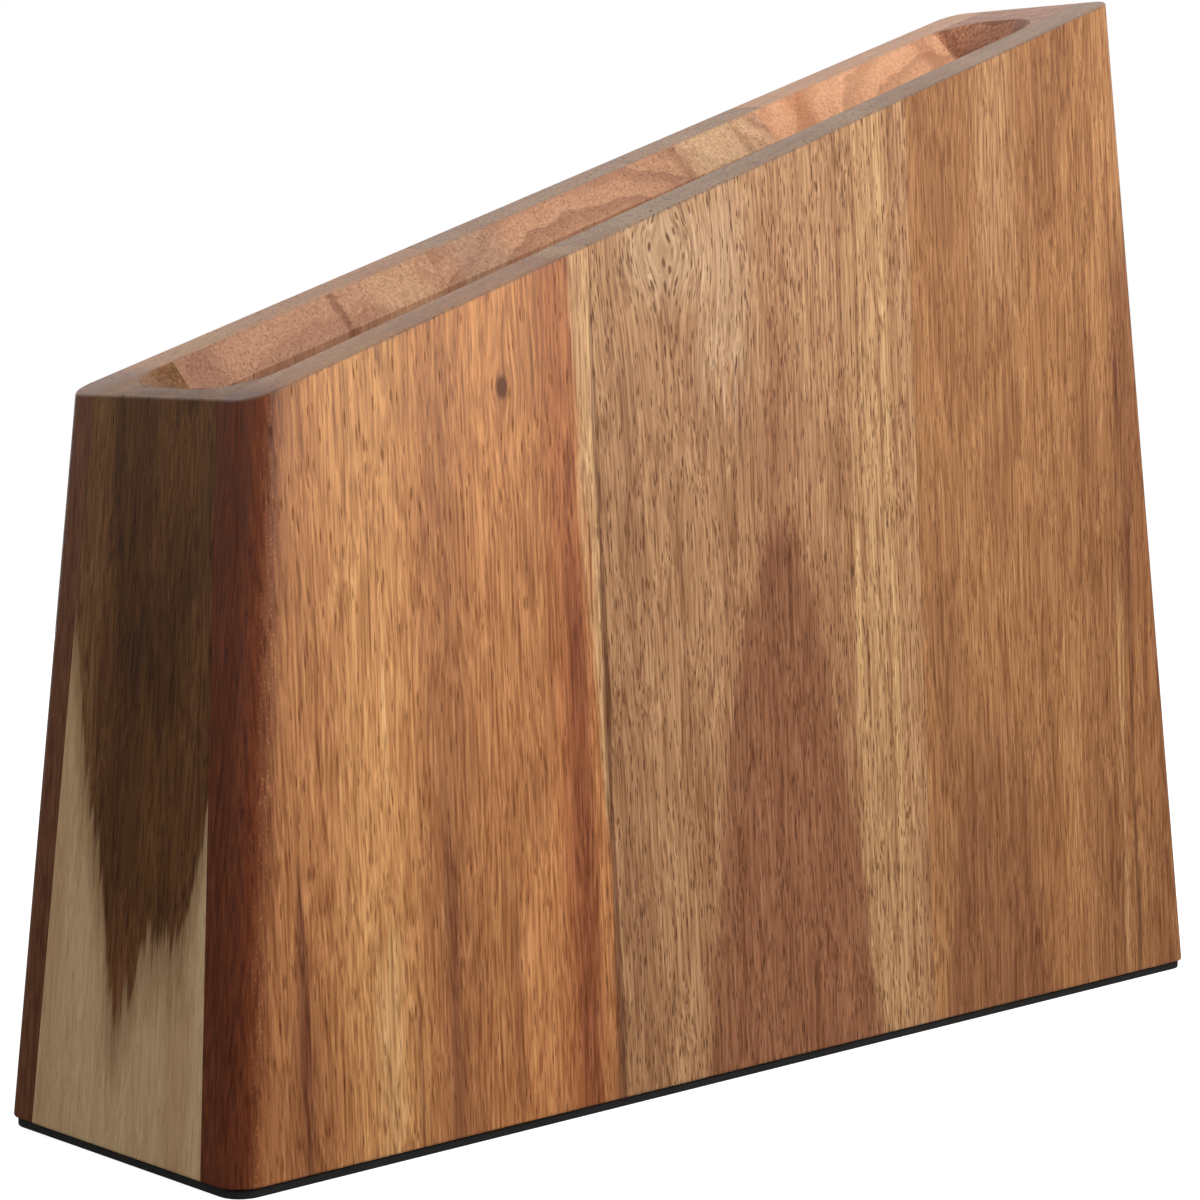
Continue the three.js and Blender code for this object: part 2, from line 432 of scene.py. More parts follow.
def nonSlipMat():
    low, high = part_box("non_slip_mat")
    piece = addCube("nonSlipMat", low, high)
    easeEdges(piece, lambda a, b: abs(a.z - b.z) > mat["upright"], mat["corner"], mat["cornerSteps"])
    easeEdges(piece, lambda a, b: abs(a.z - b.z) < mat["level"], mat["ease"], 2)
    choose(piece, 'FACE', lambda face: face.normal.z < -slack["flat"])
    bpy.ops.mesh.inset(thickness=mat["border"], depth=0)
    bpy.ops.mesh.inset(thickness=2 * mat["field"], depth=-mat["field"])
    bpy.ops.object.mode_set(mode='OBJECT')
    bpy.ops.object.shade_smooth_by_angle(angle=mat["smooth"])
    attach(piece, "root")
    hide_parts("non_slip_mat")
    return piece


matPiece = nonSlipMat()
print("mat made")


# node helpers: a value may be a number or the socket it comes from

def feed(tree, socket, value):
    if isinstance(value, bpy.types.NodeSocket):
        tree.links.new(value, socket)
    else:
        socket.default_value = value


def feedAll(tree, sockets, values):
    for socket, value in zip(sockets, values):
        feed(tree, socket, value)


def calc(tree, operation, *values):
    node = tree.nodes.new("ShaderNodeMath")
    node.operation = operation
    feedAll(tree, node.inputs, values)
    return node.outputs[0]


# a 0-1 value made to swing either side of nothing
def centred(tree, value):
    return calc(tree, 'SUBTRACT', value, 0.5)


def vectorCalc(tree, operation, *values):
    node = tree.nodes.new("ShaderNodeVectorMath")
    node.operation = operation
    feedAll(tree, node.inputs, values)
    return node.outputs["Vector"]


def scaled(tree, vector, factor):
    node = tree.nodes.new("ShaderNodeVectorMath")
    node.operation = 'SCALE'
    feed(tree, node.inputs["Vector"], vector)
    feed(tree, node.inputs["Scale"], factor)
    return node.outputs["Vector"]


def apart(tree, vector):
    node = tree.nodes.new("ShaderNodeSeparateXYZ")
    feed(tree, node.inputs[0], vector)
    return node.outputs[0], node.outputs[1], node.outputs[2]


def together(tree, x, y, z):
    node = tree.nodes.new("ShaderNodeCombineXYZ")
    feedAll(tree, node.inputs, (x, y, z))
    return node.outputs[0]


# a smooth step from toLow to toHigh as value goes from low to high
def step(tree, value, low, high, toLow=0.0, toHigh=1.0, kind='SMOOTHSTEP'):
    node = tree.nodes.new("ShaderNodeMapRange")
    node.interpolation_type = kind
    feedAll(tree, node.inputs, (value, low, high, toLow, toHigh))
    return node.outputs[0]


def noise(tree, vector, scale=1.0, detail=2.0, roughness=0.5):
    node = tree.nodes.new("ShaderNodeTexNoise")
    feed(tree, node.inputs["Vector"], vector)
    feed(tree, node.inputs["Scale"], scale)
    node.inputs["Detail"].default_value = detail
    node.inputs["Roughness"].default_value = roughness
    return node.outputs["Fac"]


def lineNoise(tree, value, scale, detail):
    node = tree.nodes.new("ShaderNodeTexNoise")
    node.noise_dimensions = '1D'
    feed(tree, node.inputs["W"], value)
    feed(tree, node.inputs["Scale"], scale)
    node.inputs["Detail"].default_value = detail
    return node.outputs["Fac"]


def mixColour(tree, amount, first, second, kind='MIX'):
    node = tree.nodes.new("ShaderNodeMix")
    node.data_type = 'RGBA'
    node.blend_type = kind
    feed(tree, node.inputs["Factor"], amount)
    feed(tree, node.inputs[6], first)
    feed(tree, node.inputs[7], second)
    return node.outputs[2]


# every group takes a Vector and some numbers, and gives masks, values or a bent Vector
def addGroup(name, numbers, outputs):
    tree = bpy.data.node_groups.new(name, "ShaderNodeTree")
    tree.interface.new_socket(name="Vector", in_out='INPUT', socket_type="NodeSocketVector")
    for label, value in numbers.items():
        socket = tree.interface.new_socket(name=label, in_out='INPUT', socket_type="NodeSocketFloat")
        socket.default_value = value
    for label in outputs:
        kind = "NodeSocketVector" if label == "Vector" else "NodeSocketFloat"
        tree.interface.new_socket(name=label, in_out='OUTPUT', socket_type=kind)
    return tree, tree.nodes.new("NodeGroupInput").outputs, tree.nodes.new("NodeGroupOutput").inputs


def useGroup(tree, group, values):
    node = tree.nodes.new("ShaderNodeGroup")
    node.node_tree = group
    for label, value in values.items():
        feed(tree, node.inputs[label], value)
    return node.outputs


# grain that leans and wanders, so that no line in the wood is quite straight
course = {"slow": (22.0, 22.0, 7.0), "quick": (160.0, 160.0, 26.0), "rippleShare": 0.16}


def makeGrainCourse():
    tree, given, out = addGroup("grainCourse", {"Lean": 0.0, "Wander": 0.002, "Seed": 0.0}, ["Vector"])
    x, y, z = apart(tree, given["Vector"])
    slow = vectorCalc(tree, 'MULTIPLY', given["Vector"], course["slow"])
    slow = vectorCalc(tree, 'ADD', slow, together(tree, given["Seed"], given["Seed"], 0.0))
    sway = centred(tree, noise(tree, slow))
    quick = vectorCalc(tree, 'MULTIPLY', given["Vector"], course["quick"])
    ripple = centred(tree, noise(tree, quick, detail=1.0))
    bend = calc(tree, 'MULTIPLY_ADD', ripple, course["rippleShare"], sway)
    x = calc(tree, 'MULTIPLY_ADD', given["Lean"], z, x)
    x = calc(tree, 'MULTIPLY_ADD', given["Wander"], bend, x)
    y = calc(tree, 'MULTIPLY_ADD', given["Wander"], ripple, y)
    feed(tree, out["Vector"], together(tree, x, y, z))
    return tree


# fibres part round a knot as water round a post
flow = {"core": 0.9, "pull": 0.95}


def makeKnotFlow():
    numbers = {"Knot X": 0.0, "Knot Z": 0.0, "Reach": 0.005, "Squash": 0.7}
    tree, given, out = addGroup("knotFlow", numbers, ["Vector", "Distance"])
    x, y, z = apart(tree, given["Vector"])
    dx = calc(tree, 'SUBTRACT', x, given["Knot X"])
    dz = calc(tree, 'MULTIPLY', calc(tree, 'SUBTRACT', z, given["Knot Z"]), given["Squash"])
    square = calc(tree, 'ADD', calc(tree, 'MULTIPLY', dx, dx), calc(tree, 'MULTIPLY', dz, dz))
    reach = calc(tree, 'MULTIPLY', given["Reach"], given["Reach"])
    core = calc(tree, 'MULTIPLY', reach, flow["core"])
    pull = calc(tree, 'DIVIDE', reach, calc(tree, 'ADD', square, core))
    bentX = calc(tree, 'MULTIPLY_ADD', calc(tree, 'MULTIPLY', dx, pull), -flow["pull"], x)
    feed(tree, out["Vector"], together(tree, bentX, y, z))
    feed(tree, out["Distance"], calc(tree, 'DIVIDE', calc(tree, 'SQRT', square), given["Reach"]))
    return tree


# growth rings round a pith line: broad bands and thin dark late-wood lines
ringShape = {
    "wobble": (45.0, 45.0, 9.0),
    "wobbleReach": 0.006,
    "uneven": 0.35,
    "unevenness": 2.2,
    "late": (0.35, 0.92),
    "bands": 0.8,
    "bandStep": (0.32, 0.68),
    "hue": 0.23,
    "hueStep": (0.3, 0.7),
}


def makeGrowthRings():
    numbers = {"Pith X": 0.0, "Pith Y": 0.1, "Taper": 0.03, "Spacing": 0.006}
    tree, given, out = addGroup("growthRings", numbers, ["Bands", "Lines", "Hue"])
    x, y, z = apart(tree, given["Vector"])
    dx = calc(tree, 'SUBTRACT', x, given["Pith X"])
    dy = calc(tree, 'SUBTRACT', y, given["Pith Y"])
    square = calc(tree, 'ADD', calc(tree, 'MULTIPLY', dx, dx), calc(tree, 'MULTIPLY', dy, dy))
    radius = calc(tree, 'SQRT', square)
    wobble = noise(tree, vectorCalc(tree, 'MULTIPLY', given["Vector"], ringShape["wobble"]))
    radius = calc(tree, 'MULTIPLY_ADD', centred(tree, wobble), ringShape["wobbleReach"], radius)
    radius = calc(tree, 'MULTIPLY_ADD', given["Taper"], z, radius)
    turns = calc(tree, 'DIVIDE', radius, given["Spacing"])
    shift = lineNoise(tree, turns, ringShape["uneven"], 1.0)
    late = calc(tree, 'FRACT', calc(tree, 'MULTIPLY_ADD', shift, ringShape["unevenness"], turns))
    darkens, ends = ringShape["late"]
    rise = step(tree, late, darkens, ends)
    feed(tree, out["Lines"], calc(tree, 'MULTIPLY', rise, step(tree, late, ends, 1.0, 1.0, 0.0)))
    bands = lineNoise(tree, turns, ringShape["bands"], 3.0)
    hue = lineNoise(tree, turns, ringShape["hue"], 1.0)
    feed(tree, out["Bands"], step(tree, bands, *ringShape["bandStep"]))
    feed(tree, out["Hue"], step(tree, hue, *ringShape["hueStep"]))
    return tree


# open pores: dashes along the grain on a face, dots on end grain
poreShape = {"sizes": (0.55, 1.25), "solid": 0.45}


def makePores():
    numbers = {"Spacing": 0.0013, "Length": 4.5, "Width": 0.24, "Share": 0.6}
    tree, given, out = addGroup("pores", numbers, ["Mask"])
    across = calc(tree, 'DIVIDE', 1.0, given["Spacing"])
    along = calc(tree, 'DIVIDE', across, given["Length"])
    cells = vectorCalc(tree, 'MULTIPLY', given["Vector"], together(tree, across, across, along))
    node = tree.nodes.new("ShaderNodeTexVoronoi")
    feed(tree, node.inputs["Vector"], cells)
    node.inputs["Scale"].default_value = 1.0
    chance, size, _ = apart(tree, node.outputs["Color"])
    size = step(tree, size, 0.0, 1.0, *poreShape["sizes"], 'LINEAR')
    width = calc(tree, 'MULTIPLY', given["Width"], size)
    inner = calc(tree, 'MULTIPLY', width, poreShape["solid"])
    hole = step(tree, node.outputs["Distance"], inner, width, 1.0, 0.0)
    feed(tree, out["Mask"], calc(tree, 'MULTIPLY', hole, calc(tree, 'LESS_THAN', chance, given["Share"])))
    return tree


# three sizes of fibre streak that run with the grain: stretch, detail and roughness of each
fibre = {
    "Fine": (0.02, 2.0, 0.6),
    "Coarse": (0.014, 3.0, 0.6),
    "Broad": (0.035, 2.0, 0.55),
    "broadScale": 95.0,
    "fineStep": (0.28, 0.72),
}


def makeFibres():
    tree, given, out = addGroup("fibres", {"Fine": 1500.0, "Coarse": 560.0}, ["Fine", "Coarse", "Broad"])
    scales = {"Fine": given["Fine"], "Coarse": given["Coarse"], "Broad": fibre["broadScale"]}
    for label, scale in scales.items():
        stretch, detail, roughness = fibre[label]
        thread = vectorCalc(tree, 'MULTIPLY', given["Vector"], (1.0, 1.0, stretch))
        value = noise(tree, thread, scale, detail, roughness)
        if label == "Fine":
            value = step(tree, value, *fibre["fineStep"], kind='LINEAR')
        feed(tree, out[label], value)
    return tree


# one coloured streak along the grain, fading at its sides and its two ends
def makeStreak():
    numbers = {
        "Place": 0.0, "Half Width": 0.004, "Low": 0.0, "High": 0.3, "Fade": 0.03, "Lean": 0.0, "Soft": 0.7,
    }
    tree, given, out = addGroup("streak", numbers, ["Mask"])
    x, y, z = apart(tree, given["Vector"])
    middle = calc(tree, 'MULTIPLY_ADD', given["Lean"], z, given["Place"])
    off = calc(tree, 'ABSOLUTE', calc(tree, 'SUBTRACT', x, middle))
    core = calc(tree, 'MULTIPLY', given["Half Width"], calc(tree, 'SUBTRACT', 1.0, given["Soft"]))
    side = step(tree, off, core, given["Half Width"], 1.0, 0.0)
    rise = step(tree, z, calc(tree, 'SUBTRACT', given["Low"], given["Fade"]), given["Low"])
    fall = step(tree, z, given["High"], calc(tree, 'ADD', given["High"], given["Fade"]), 1.0, 0.0)
    feed(tree, out["Mask"], calc(tree, 'MULTIPLY', side, calc(tree, 'MULTIPLY', rise, fall)))
    return tree


# a flame: the pointed arch that a tapering ring leaves on a flat-sawn face
def makeFlame():
    numbers = {"Tip X": 0.0, "Tip Z": 0.1, "Spread": 0.007, "Lean": 0.0, "Soft": 0.012}
    tree, given, out = addGroup("flame", numbers, ["Mask"])
    x, y, z = apart(tree, given["Vector"])
    down = calc(tree, 'SUBTRACT', given["Tip Z"], z)
    middle = calc(tree, 'MULTIPLY_ADD', given["Lean"], down, given["Tip X"])
    dx = calc(tree, 'SUBTRACT', x, middle)
    arch = calc(tree, 'DIVIDE', calc(tree, 'MULTIPLY', dx, dx), given["Spread"])
    depth = calc(tree, 'SUBTRACT', down, arch)
    feed(tree, out["Mask"], step(tree, depth, 0.0, given["Soft"]))
    return tree


# the worn line along an outer edge, from how near two faces of the block meet, and a painted sheen over the
# slanted top face, which stands in for the top's reflection of the bright room
wearAndSheen = {"unevenness": 240.0, "topSheen": (0.2 * mm, 0.7 * mm)}


def makeEdgeWearAndTopSheen():
    tree, given, out = addGroup("edgeWearAndTopSheen", {"Width": 0.0012}, ["Mask", "Top Sheen"])
    x, y, z = apart(tree, given["Vector"])
    rise = calc(tree, 'MULTIPLY_ADD', x, tan(block["topSlope"]), topHeight(0))
    toTop = calc(tree, 'SUBTRACT', rise, z)
    climb = calc(tree, 'SUBTRACT', z, block["foot"])
    face = calc(tree, 'MULTIPLY_ADD', climb, -tan(block["faceLean"]), block["halfDepth"])
    toFace = calc(tree, 'SUBTRACT', face, calc(tree, 'ABSOLUTE', y))
    end = calc(tree, 'MULTIPLY_ADD', climb, -tan(block["endLean"]), block["halfLength"])
    toEnd = calc(tree, 'SUBTRACT', end, calc(tree, 'ABSOLUTE', x))
    toSide = calc(tree, 'MINIMUM', toFace, toEnd)
    toRim = calc(tree, 'MINIMUM', toTop, climb)
    near = calc(tree, 'MAXIMUM', toSide, toRim)
    uneven = noise(tree, given["Vector"], wearAndSheen["unevenness"])
    reach = calc(tree, 'MULTIPLY', given["Width"], calc(tree, 'ADD', uneven, 0.5))
    feed(tree, out["Mask"], step(tree, near, 0.0, reach, 1.0, 0.0))
    # painted sheen: the whole top face, fading out within 0.7 mm below it
    feed(tree, out["Top Sheen"], step(tree, toTop, *wearAndSheen["topSheen"], 1.0, 0.0))
    return tree


grainCourse = makeGrainCourse()
knotFlow = makeKnotFlow()
growthRings = makeGrowthRings()
poreHoles = makePores()
fibreStreaks = makeFibres()
streakMark = makeStreak()
flameMark = makeFlame()
edgeWearAndTopSheen = makeEdgeWearAndTopSheen()
print("node groups made")


# colours are given as 0-255 levels, as a colour picker shows them
def level(value):
    value = value / 255
    return value / 12.92 if value <= 0.04045 else ((value + 0.055) / 1.055) ** 2.4


def tint(red, green, blue):
    return (level(red), level(green), level(blue), 1.0)


# lays a shade over a colour where a mask is on
def paint(tree, colour, mask, amount, shade):
    return mixColour(tree, calc(tree, 'MULTIPLY', mask, amount), colour, tint(*shade))


def newMaterial(name):
    material = bpy.data.materials.new(name)
    material.use_nodes = True
    tree = material.node_tree
    return material, tree, tree.nodes["Principled BSDF"]


def addBump(tree, shader, strength, depth, height):
    bump = tree.nodes.new("ShaderNodeBump")
    bump.inputs["Strength"].default_value = strength
    bump.inputs["Distance"].default_value = depth
    feed(tree, bump.inputs["Height"], height)
    feed(tree, shader.inputs["Normal"], bump.outputs["Normal"])


plainWood = {
    "pale": (205, 145, 90),
    "deep": (170, 112, 67),
    "line": (124, 72, 40),
    "pore": (87, 46, 24),
    "bandMix": 0.5,
    "lineMix": 0.25,
    "hue": (196, 120, 67),
    "hueMix": 0.2,
    "pith": (0.0, 0.11),
    "taper": 0.03,
    "spacing": 0.006,
    "lean": 0.0,
    "wander": 0.004,
    "fine": 0.5,
    "coarse": 0.4,
    "broad": 0.26,
    "poreSpacing": 0.001,
    "poreLength": 6.0,
    "poreWidth": 0.28,
    "poreShare": 0.85,
    "poreMix": 0.5,
    "poreDepth": 0.00025,
    "hairSpacing": 0.00065,
    "hairLength": 12.0,
    "hairWidth": 0.34,
    "hairShare": 0.8,
    "hairMix": 0.42,
    "warmth": (0.85, 1.1, 1.3),  # how hard a dark fibre bites into red, green and blue
    "roughness": 0.42,
    "shine": 0.22,
    "edge": (0.8, 0.35),
    # topSheen: colour and amount of a painted sheen over the top face
    "topSheen": ((176, 136, 108), 0.2),
    "glintSpecks": None,
    "seed": 0.0,
    "knots": [],
    "streaks": [],
    "flames": [],
    "sap": None,
    "turned": False,
}


# how far apart the wood's patterns lie, and what they do to the surface
woodSurface = {
    "seedStep": (0.37, 0.21, 0.53),
    "hairShift": (0.31, 0.17, 0.0),
    "steady": (0.4, 0.6),  # shares of bent and of straight grain that a streak follows
    "streakRagged": (0.004, 0.07),
    "flameRagged": (0.003, 0.03),
    "plainStreak": (0.0, 0.8, 30),
    "sapQuiet": 0.3,
    "fibreRough": 0.2,
    "poreRough": 0.25,
    "wornRough": -0.06,
    "fibreHeight": 0.25,
    "bump": 0.6,
}

# painted glints: light dots on the pores in a band along the low front board's rounded corner
glintDots = {"Spacing": 0.6 * mm, "Length": 1.5, "Width": 0.42, "Share": 0.85}
glintBand = {"Low": -0.01, "High": 0.3, "Lean": 0.083, "Soft": 0.8}


# the grain's own coordinates, bent round each knot, and how far off each knot is
def layGrain(tree, wood, figure):
    grain = useGroup(tree, grainCourse, {
        "Vector": figure, "Lean": wood["lean"], "Wander": wood["wander"], "Seed": wood["seed"],
    })["Vector"]
    distances = []
    for knot in wood["knots"]:
        bent = useGroup(tree, knotFlow, {
            "Vector": grain, "Knot X": knot["x"] * mm, "Knot Z": knot["z"] * mm,
            "Reach": knot["reach"] * mm, "Squash": knot["squash"],
        })
        grain = bent["Vector"]
        distances.append(bent["Distance"])
    return grain, distances


# kind is pore for the open pores and hair for the thin dark ones
def porousMask(tree, wood, vector, kind):
    return useGroup(tree, poreHoles, {
        "Vector": vector, "Spacing": wood[kind + "Spacing"], "Length": wood[kind + "Length"],
        "Width": wood[kind + "Width"], "Share": wood[kind + "Share"],
    })["Mask"]


def ringColour(tree, wood, grain):
    rings = useGroup(tree, growthRings, {
        "Vector": grain, "Pith X": wood["pith"][0], "Pith Y": wood["pith"][1],
        "Taper": wood["taper"], "Spacing": wood["spacing"],
    })
    colour = paint(tree, tint(*wood["pale"]), rings["Bands"], wood["bandMix"], wood["deep"])
    colour = paint(tree, colour, rings["Hue"], wood["hueMix"], wood["hue"])
    return paint(tree, colour, rings["Lines"], wood["lineMix"], wood["line"])


# moves a pattern by a ragged value, so that its edge breaks up along the fibres
def raggedVector(tree, vector, ragged, reach):
    sideways, lengthways = (calc(tree, 'MULTIPLY', ragged, amount) for amount in reach)
    return vectorCalc(tree, 'ADD', vector, together(tree, sideways, 0.0, lengthways))


def paintStreaks(tree, wood, colour, vector):
    for x, halfWidth, low, high, shade, amount, *more in wood["streaks"]:
        lean, soft, fade = more or woodSurface["plainStreak"]
        mask = useGroup(tree, streakMark, {
            "Vector": vector, "Place": x * mm, "Low": low * mm, "High": high * mm, "Fade": fade * mm,
            "Lean": lean, "Soft": soft, "Half Width": halfWidth * mm,
        })["Mask"]
        colour = paint(tree, colour, mask, amount, shade)
    return colour


def paintFlames(tree, wood, colour, vector):
    for x, z, spread, lean, soft, shade, amount in wood["flames"]:
        mask = useGroup(tree, flameMark, {
            "Vector": vector, "Spread": spread * mm, "Lean": lean, "Soft": soft * mm,
            "Tip X": x * mm, "Tip Z": z * mm,
        })["Mask"]
        colour = paint(tree, colour, mask, amount, shade)
    return colour


def paintKnots(tree, wood, colour, distances):
    for knot, distance in zip(wood["knots"], distances):
        for ring in ("halo", "eye"):
            mask = step(tree, distance, knot[ring + "In"], knot[ring + "Out"], 1.0, 0.0)
            colour = paint(tree, colour, mask, knot[ring + "Mix"], knot[ring])
    return colour


# paints light dots on the pores as painted glints
def paintGlintSpecks(tree, wood, colour, band, dots):
    x, halfWidth, shade, amount = wood["glintSpecks"]
    place = {"Vector": band, "Place": x * mm, "Half Width": halfWidth * mm}
    mask = useGroup(tree, streakMark, {**place, **glintBand})["Mask"]
    holes = useGroup(tree, poreHoles, {"Vector": dots, **glintDots})["Mask"]
    return paint(tree, colour, calc(tree, 'MULTIPLY', mask, holes), amount, shade)


# light and dark along the fibres, which bites harder into blue than into red
def fibreShade(tree, wood, colour, fibres, quiet):
    lift = 1.0
    for label in ("Fine", "Coarse", "Broad"):
        lift = calc(tree, 'MULTIPLY_ADD', centred(tree, fibres[label]), wood[label.lower()] * 2, lift)
    if quiet is not None:
        lift = calc(tree, 'MULTIPLY_ADD', calc(tree, 'SUBTRACT', lift, 1.0), quiet, 1.0)
    shade = together(tree, *(calc(tree, 'POWER', lift, bite) for bite in wood["warmth"]))
    return vectorCalc(tree, 'MULTIPLY', colour, shade)


def woodMaterial(name, changes):
    wood = dict(plainWood, **changes)
    material, tree, shader = newMaterial(name)
    place = tree.nodes.new("ShaderNodeTexCoord").outputs["Object"]
    figure = place
    if wood["turned"]:
        x, y, z = apart(tree, place)
        figure = together(tree, y, x, z)
    grain, knotDistances = layGrain(tree, wood, figure)
    seeded = vectorCalc(tree, 'ADD', grain, tuple(wood["seed"] * share for share in woodSurface["seedStep"]))
    fibres = useGroup(tree, fibreStreaks, {"Vector": seeded})
    pores = porousMask(tree, wood, seeded, "pore")
    hairs = porousMask(tree, wood, vectorCalc(tree, 'ADD', seeded, woodSurface["hairShift"]), "hair")

    colour = ringColour(tree, wood, grain)
    ragged = centred(tree, fibres["Coarse"])
    bentShare, straightShare = woodSurface["steady"]
    steady = vectorCalc(tree, 'ADD', scaled(tree, grain, bentShare), scaled(tree, figure, straightShare))
    marks = raggedVector(tree, steady, ragged, woodSurface["streakRagged"])
    colour = paintStreaks(tree, wood, colour, marks)
    colour = paintFlames(tree, wood, colour, raggedVector(tree, grain, ragged, woodSurface["flameRagged"]))
    quiet = None
    if wood["sap"]:
        colour, heart = sapwood(tree, place, fibres, colour, wood["sap"])
        quiet = calc(tree, 'MULTIPLY_ADD', heart, 1 - woodSurface["sapQuiet"], woodSurface["sapQuiet"])
        pores = calc(tree, 'MULTIPLY', pores, quiet)
        hairs = calc(tree, 'MULTIPLY', hairs, quiet)
    colour = paintKnots(tree, wood, colour, knotDistances)
    if wood["glintSpecks"]:
        colour = paintGlintSpecks(tree, wood, colour, marks, seeded)

    colour = fibreShade(tree, wood, colour, fibres, quiet)
    edges = useGroup(tree, edgeWearAndTopSheen, {"Vector": place})
    # paints the top face with a sheen colour, standing in for its reflection of the bright room
    sheenColour, sheenAmount = wood["topSheen"]
    colour = paint(tree, colour, edges["Top Sheen"], sheenAmount, sheenColour)
    colour = paint(tree, colour, hairs, wood["hairMix"], wood["pore"])
    colour = paint(tree, colour, pores, wood["poreMix"], wood["pore"])
    dull, amount = wood["edge"]
    dulled = mixColour(tree, 1.0, colour, (dull, dull, dull, 1.0), 'MULTIPLY')
    colour = mixColour(tree, calc(tree, 'MULTIPLY', edges["Mask"], amount), colour, dulled)
    feed(tree, shader.inputs["Base Color"], colour)
    shader.inputs["Specular IOR Level"].default_value = wood["shine"]

    fine = centred(tree, fibres["Fine"])
    rough = calc(tree, 'MULTIPLY_ADD', fine, woodSurface["fibreRough"], wood["roughness"])
    rough = calc(tree, 'MULTIPLY_ADD', pores, woodSurface["poreRough"], rough)
    rough = calc(tree, 'MULTIPLY_ADD', edges["Mask"], woodSurface["wornRough"], rough)
    feed(tree, shader.inputs["Roughness"], rough)
    sunk = calc(tree, 'MULTIPLY', pores, -1.0)
    height = calc(tree, 'MULTIPLY_ADD', fibres["Fine"], woodSurface["fibreHeight"], sunk)
    addBump(tree, shader, woodSurface["bump"], wood["poreDepth"], height)
    return material


# pale sapwood under a tongue of heartwood: the border is read across the end face
def sapwood(tree, place, fibres, colour, sap):
    x, y, z = apart(tree, place)
    curve = tree.nodes.new("ShaderNodeFloatCurve")
    across = step(tree, y, sap["lowY"] * mm, sap["highY"] * mm, kind='LINEAR')
    feed(tree, curve.inputs["Value"], across)
    line = curve.mapping.curves[0]
    for share, height in sap["border"][1:-1]:
        line.points.new(share, height)
    for point, (share, height) in zip(line.points, sap["border"]):
        point.location = (share, height)
        point.handle_type = 'VECTOR'
    curve.mapping.update()
    border = calc(tree, 'MULTIPLY', curve.outputs[0], sap["top"] * mm)
    spikes = noise(tree, vectorCalc(tree, 'MULTIPLY', place, sap["spikeGrain"]), 1.0, 3.0, 0.6)
    border = calc(tree, 'MULTIPLY_ADD', centred(tree, spikes), sap["spike"] * mm, border)
    over = calc(tree, 'SUBTRACT', z, border)
    heart = step(tree, over, -sap["soft"] * mm, sap["soft"] * mm)
    toast = step(tree, over, -sap["toastReach"] * mm, 0.0)
    streaky = step(tree, fibres["Broad"], *sap["streakStep"])
    pale = mixColour(tree, streaky, tint(*sap["colour"]), tint(*sap["streak"]))
    pale = paint(tree, pale, toast, sap["toastMix"], sap["toast"])
    return mixColour(tree, heart, pale, colour), heart


# front panel: a streak is x, half width, low z, high z, colour, amount, then lean, softness and fade;
# a flame is its tip's x and z, spread, lean, softness, colour and amount; all in millimetres

# each board's topSheen is a painted sheen over its top face, greyish on the front boards
frontLow = {
    "pale": (222, 154, 98), "deep": (192, 126, 78), "hue": (210, 128, 72), "pith": (-0.12, 0.19),
    "spacing": 0.007, "topSheen": ((120, 100, 86), 0.55), "poreShare": 0.6, "poreMix": 0.6, "poreLength": 8.0,
    "pore": (112, 58, 32), "seed": 1.0, "wander": 0.003, "broad": 0.12,
    # glintSpecks: painted glints along the left corner, as x, half width, colour and amount
    "glintSpecks": (-163, 4.5, (196, 124, 80), 0.6),
    "streaks": [
        (-127, 17, -10, 300, (232, 168, 106), 0.55),
        (-106, 13, -10, 160, (164, 104, 66), 0.5, 0.0, 0.9, 50),
        (-149.5, 2.6, 8, 52, (104, 50, 36), 0.75, 0.0, 0.9, 22),
        (-118, 1.6, -10, 24, (110, 60, 38), 0.5, 0.0, 0.9, 12),
        (-107, 3.0, 14, 66, (116, 62, 42), 0.55, 0.0, 0.9, 30),
        # a pale patch of painted sheen, where the fibres catch the light
        (-126, 6, 10, 42, (232, 186, 130), 0.4, 0.0, 0.9, 15),
        (-88, 2.4, 8, 48, (136, 80, 50), 0.45, 0.0, 0.9, 20),
        (-68, 10, -10, 300, (178, 100, 60), 0.5, 0.0, 0.85, 10),
        (-66, 6, 14, 120, (128, 62, 38), 0.65, 0.0, 0.9, 50),
        (-50, 6, 80, 300, (220, 180, 130), 0.6, -0.051, 0.45, 40),
        (-57.2, 0.7, -10, 300, (96, 44, 26), 0.55, 0.0, 0.4, 10),
        (-124, 0.5, 88, 113, (254, 198, 136), 0.5, 0.0, 0.4, 10),
        (-86, 1.1, 160, 168, (132, 72, 39), 0.5, 0.0, 0.8, 5),
        # a red-brown band of the board's own edge, deepened with painted shade where the rounded corner
        # turns from the light; it leans with the end face
        (-171.5, 13.5, -10, 300, (106, 42, 17), 0.92, 0.085, 0.7, 10),
        (-152, 13, -10, 26, (142, 86, 54), 0.5, 0.0, 0.9, 30),
    ],
    "knots": [
        {
            "x": -85.8, "z": 170.3, "reach": 2.6, "squash": 0.6, "eyeIn": 0.4, "eyeOut": 0.85,
            "eye": (92, 44, 24), "eyeMix": 0.9, "haloIn": 0.7, "haloOut": 1.6, "halo": (150, 90, 54),
            "haloMix": 0.35,
        },
    ],
}

